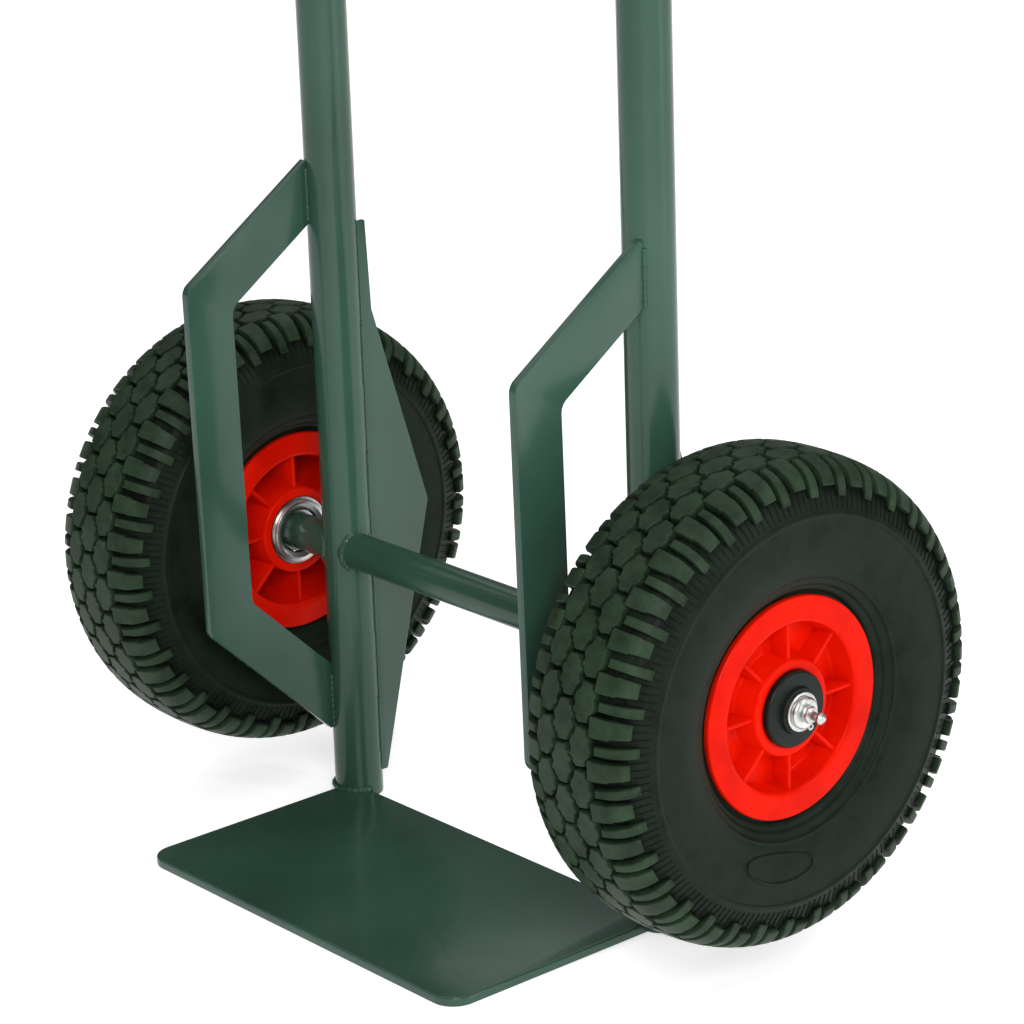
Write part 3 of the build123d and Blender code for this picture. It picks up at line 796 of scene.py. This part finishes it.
def saddlePath(side, y, z, tubeRadius, inward, steps=56):
    # the line where a tube along X meets the round rail, on its inboard or outboard side
    path = []
    for step in range(steps + 1):
        turn = 2 * math.pi * step / steps
        spotY = y + tubeRadius * math.cos(turn)
        reach = math.sqrt(max(0.0, railRadius ** 2 - spotY ** 2))
        path.append(Vector((side * (railCentre + inward * reach), spotY, z + tubeRadius * math.sin(turn))))
    return path


def hoopPath(x, y, z, radius, steps=48):
    turns = [2 * math.pi * step / steps for step in range(steps + 1)]
    return [Vector((x, y + radius * math.cos(turn), z + radius * math.sin(turn))) for turn in turns]


def railPath(side, x, low, high, front):
    # upright line on the rail's surface at x
    spotY = math.sqrt(max(0.0, railRadius ** 2 - (x - railCentre) ** 2)) * (-1 if front else 1)
    return [Vector((side * x, spotY, low + (high - low) * step / 12)) for step in range(13)]


def seamMesh(paths):
    shape = bmesh.new()
    for path in paths:
        verts = [shape.verts.new(point) for point in path]
        for here, there in zip(verts, verts[1:]):
            shape.edges.new((here, there))
    mesh = bpy.data.meshes.new("seams")
    shape.to_mesh(mesh)
    shape.free()
    return mesh


def makeWelds():
    foot, saddles, flats = [], [], []
    guardLow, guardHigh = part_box("right_wheel_guard")
    gussetLow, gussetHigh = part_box("right_gusset_plate")
    axleTubeLow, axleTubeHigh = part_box("axle_cross_tube")
    for side in sides.values():
        rail = Vector((side * railCentre, 0, plateTop))
        foot.append(arcPath(rail, railRadius + weld["footLift"], *weld["footArc"]))
        for tube in ("lower_cross_tube", "middle_cross_tube", "upper_cross_tube"):
            low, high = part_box(tube)
            radius = (high.z - low.z) / 2 + weld["tubeLift"]
            saddles.append(saddlePath(side, 0.0, (low.z + high.z) / 2, radius, -1))
        radius = (axleTubeHigh.z - axleTubeLow.z) / 2 + weld["axleLift"]
        gussetFace = side * (gussetLow.x - weld["gussetLift"])
        saddles.append(hoopPath(gussetFace, axlePoint.y, axlePoint.z, radius))
        saddles.append(saddlePath(side, axlePoint.y, axlePoint.z, radius, 1))
        for x in (guardLow.x, guardHigh.x):
            under, over = weld["guardJoint"]
            flats.append(railPath(side, x, guardHigh.z - under, guardHigh.z - over, True))
            begin, end = weld["guardFoot"]
            flats.append(railPath(side, x, guardLow.z + begin, guardLow.z + end, True))
        start = gussetLow.z + weld["stitchStart"]
        while start < gussetHigh.z - weld["stitch"]:
            if abs(start + weld["stitch"] / 2 - axlePoint.z) > weld["clearOfAxle"]:
                flats.append(railPath(side, gussetLow.x, start, start + weld["stitch"], False))
            start += weld["stitchGap"]
    settings = {"Ripple Pitch": weld["pitch"], "Ripple Depth": weld["ripple"], "Seed": weld["seed"]}
    beads = []
    for kind, paths in (("foot", foot), ("saddle", saddles), ("flat", flats)):
        settings["Bead Radius"] = weld[kind + "Radius"]
        beads.append(runTree(seamMesh(paths), weldTree, settings, greenEnamel))
    return joinMeshes("weldBeads", *beads)


finishPiece("weldBeads", makeWelds(), "frame", "frame_paint")
print("hand truck: plates, guards and welds made")


grip = {
    "collar": 20.0, "collarWidth": 5.0, "collarEdge": 1.2, "body": 16.0, "crest": 16.9, "length": 108.0,
    "rings": 13, "ringSpacing": 6.6, "firstRing": 12.0, "bore": 14.05, "steps": 72, "lean": 60.0,
    # the closed end: (back from the tip, under the body's radius), then the small hole in it
    "tip": [(10.0, -0.8), (5.0, 0.6), (1.5, 5.0), (0.2, 9.0)], "hole": 2.0, "capDepth": 8.9,
}


def gripPlace(name):
    # the grip's own line: it leans back from upright by the bend of the rail
    low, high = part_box(f"{name}_grip")
    lean = math.radians(grip["lean"])
    middleX = (low.x + high.x) / 2
    reach = grip["collar"] * mm
    start = Vector((middleX, low.y + reach * math.cos(lean), low.z + reach * math.sin(lean)))
    forward = Vector((0, math.sin(lean), math.cos(lean)))
    across = Vector((0, 0, 1)).cross(forward).normalized()
    upright = forward.cross(across)
    turn = Matrix((forward, across, upright)).transposed().to_4x4()
    return Matrix.Translation(start) @ turn @ Matrix.Scale(mm, 4)


def makeGrip():
    body, end, bore = grip["body"], grip["length"], grip["bore"]
    collar, width, edge = grip["collar"], grip["collarWidth"], grip["collarEdge"]
    outside = [(0, bore), (0, collar - edge), (edge, collar), (width - edge, collar), (width, collar - edge),
               (width + 1.5, body)]
    outside += [(end - back, body - under) for back, under in grip["tip"]]
    outside += [(end - 0.2, grip["hole"] + 1.0), (end - 1.2, grip["hole"])]
    outside += [(end - grip["capDepth"], grip["hole"]), (end - grip["capDepth"], bore)]
    sleeve = toMesh(turnSection(roundOutline(outside, 1.0), grip["steps"]), "sleeve", 40.0)
    rising = [(-2.3, body - 0.6), (-2.0, body + 0.2), (-1.0, grip["crest"])]
    crest = rising + [(-along, radius) for along, radius in reversed(rising)]
    ring = toMesh(turnSection(roundOutline(crest, 0.4, 2), grip["steps"]), "gripRing", 50.0)
    ringRow = runTree(ring, rowTree, {"Count": grip["rings"], "Spacing": grip["ringSpacing"]}, gripRubber)
    ringRow.transform(Matrix.Translation((grip["firstRing"], 0, 0)))
    return joinMeshes("grip", sleeve, ringRow)


gripMesh = makeGrip()
for name in sides:
    mesh = gripMesh.copy()
    mesh.transform(gripPlace(name))
    finishPiece(name + "Grip", mesh, "frame", "grip_rubber", [f"{name}_grip"])
print("hand truck: grips made")


nodeSlots = {
    "rail": "frame_paint", "cross_tube": "frame_paint", "race": "bearing_steel", "balls": "bearing_steel",
    "hub_spacer": "zinc_steel", "inner_tube": "tube_rubber",
}
for nodeName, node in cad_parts.items():
    ending = next((part for part in nodeSlots if nodeName.endswith(part)), None)
    if ending:
        for place in node.material_slots:
            place.material = finishes[nodeSlots[ending]]
        if not node.material_slots:
            node.data.materials.append(finishes[nodeSlots[ending]])


studio = {
    "floorSize": 16.0, "floorColour": (0.86, 0.87, 0.86), "floorRough": 0.7, "floorGlow": 0.60,
    "sky": (1.0, 1.0, 1.0), "skyStrength": 0.12,
    # name: (place, aim, size x, size y, power in watts)
    "lamps": {
        "overheadBox": ((-0.9, 0.8, 3.4), (-0.9, 0.8, 0), 7.0, 7.0, 140.0),
        "keyBox": ((2.3, -1.5, 1.6), (0, 0, 0.2), 1.2, 1.2, 54.0),
        "stripBox": ((2.3, 1.1, 0.9), (0, 0, 0.3), 0.25, 1.5, 16.0),
    },
}


def makeFloorMaterial():
    material, tree, shader, place = startMaterial("paleFloor", {
        "Roughness": studio["floorRough"], "Emission Color": (1, 1, 1, 1),
        "Emission Strength": studio["floorGlow"]})
    cloud = noise(tree, place, 1.5, 2.0)
    base = studio["floorColour"]
    darker = tuple(0.985 * part for part in base)
    tree.links.new(blendColours(tree, cloud, [(0.3, darker), (0.7, base)]), shader.inputs["Base Color"])
    return material


def makeFloor():
    shape = bmesh.new()
    bmesh.ops.create_grid(shape, x_segments=1, y_segments=1, size=studio["floorSize"] / 2)
    mesh = bpy.data.meshes.new("floor")
    shape.to_mesh(mesh)
    shape.free()
    mesh.materials.append(makeFloorMaterial())
    floor = bpy.data.objects.new("floor", mesh)
    bpy.context.scene.collection.objects.link(floor)


def makeLamp(name, place, aim, width, height, power):
    lamp = bpy.data.lights.new(name, "AREA")
    lamp.shape, lamp.size, lamp.size_y, lamp.energy = "RECTANGLE", width, height, power
    holder = bpy.data.objects.new(name, lamp)
    bpy.context.scene.collection.objects.link(holder)
    holder.location = place
    holder.rotation_euler = (Vector(aim) - Vector(place)).to_track_quat("-Z", "Y").to_euler()


makeFloor()
for name, settings in studio["lamps"].items():
    makeLamp(name, *settings)
world = bpy.data.worlds.new("studio")
world.use_nodes = True
background = world.node_tree.nodes["Background"]
background.inputs["Color"].default_value = (*studio["sky"], 1)
background.inputs["Strength"].default_value = studio["skyStrength"]
bpy.context.scene.world = world
bpy.context.scene.view_settings.view_transform = "Standard"

view = {
    "azimuth": 49.82, "elevation": 18.29, "roll": -1.974, "distance": 1.97517, "lens": 127.2,
    "aimHeight": 0.205, "right": 0.01093, "up": -0.00246, "near": 0.1, "far": 30.0,
}


def makeCamera():
    turn, lift, roll = (math.radians(view[key]) for key in ("azimuth", "elevation", "roll"))
    back = Vector((math.sin(turn) * math.cos(lift), -math.cos(turn) * math.cos(lift), math.sin(lift)))
    level = Vector((math.cos(turn), math.sin(turn), 0))
    upright = back.cross(level)
    across = level * math.cos(roll) + upright * math.sin(roll)
    rising = upright * math.cos(roll) - level * math.sin(roll)
    aim = Vector((0, 0, view["aimHeight"])) + across * view["right"] + rising * view["up"]
    place = aim + back * view["distance"]
    camera = bpy.data.objects.new("camera", bpy.data.cameras.new("camera"))
    bpy.context.scene.collection.objects.link(camera)
    camera.matrix_world = Matrix.Translation(place) @ Matrix((across, rising, back)).transposed().to_4x4()
    camera.data.lens = view["lens"]
    camera.data.clip_start, camera.data.clip_end = view["near"], view["far"]
    bpy.context.scene.camera = camera


makeCamera()
print("hand truck: floor, light and camera made")
